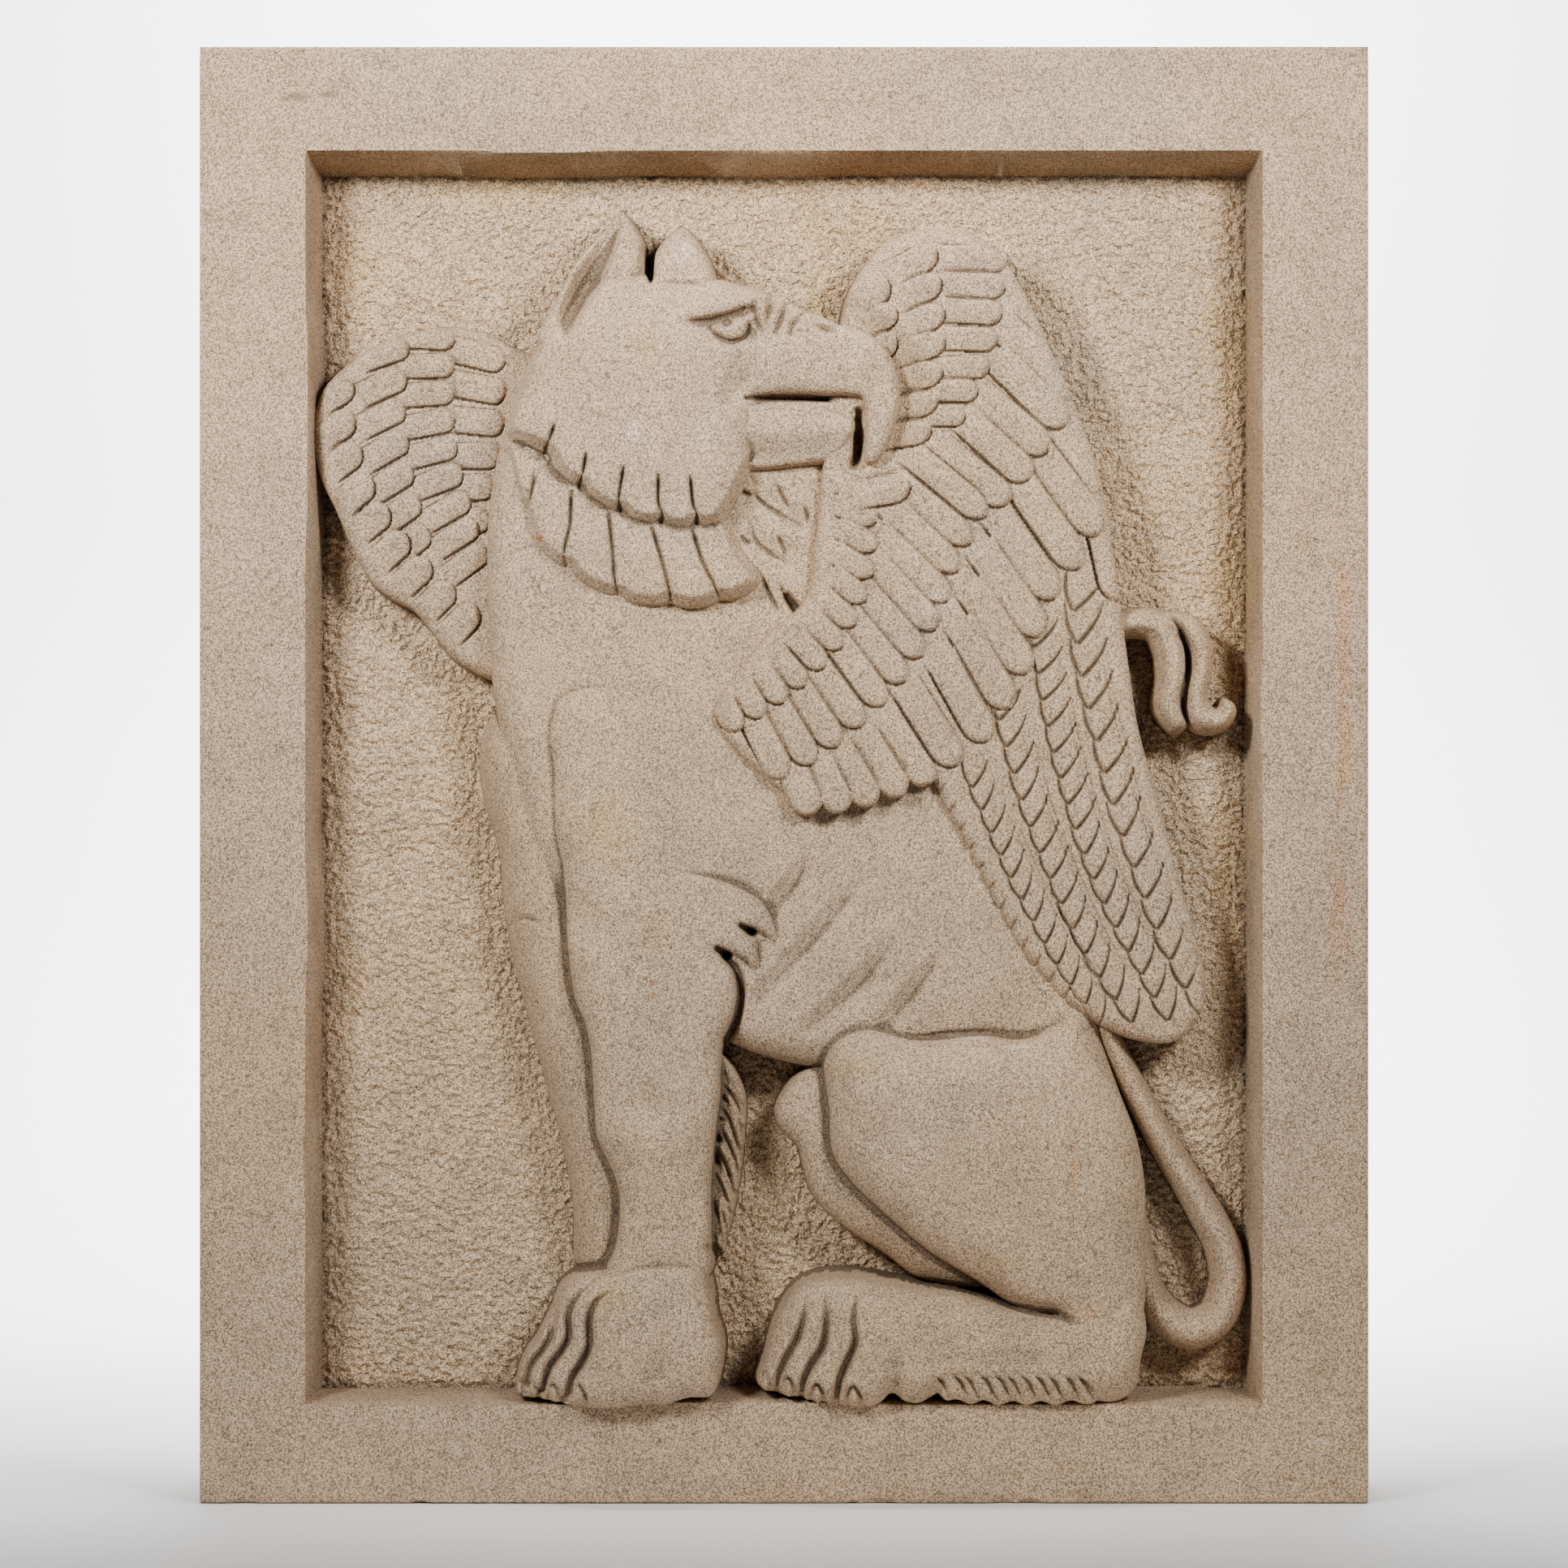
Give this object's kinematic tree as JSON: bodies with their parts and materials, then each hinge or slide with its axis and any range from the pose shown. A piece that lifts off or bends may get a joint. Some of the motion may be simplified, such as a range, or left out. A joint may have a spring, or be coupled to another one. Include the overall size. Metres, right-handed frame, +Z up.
{
  "type": "stone relief panel",
  "caption": "Sandstone relief panel: a seated griffin carved in a sunk field inside a plain raised border, all in one block",
  "frame": {"origin": "centre of the underside of the panel's bounding box", "axes": "+Z up the panel, +X to the viewer's right, +Y through its thickness to the back, so the carved face looks along -Y"},
  "size_m": [0.61, 0.12, 0.76],
  "materials": {
    "sandstone": "rubbed sandstone, with a pecked ground"
  },
  "bodies": {
    "root": {"griffin_relief": "sandstone"}
  },
  "joints": []
}
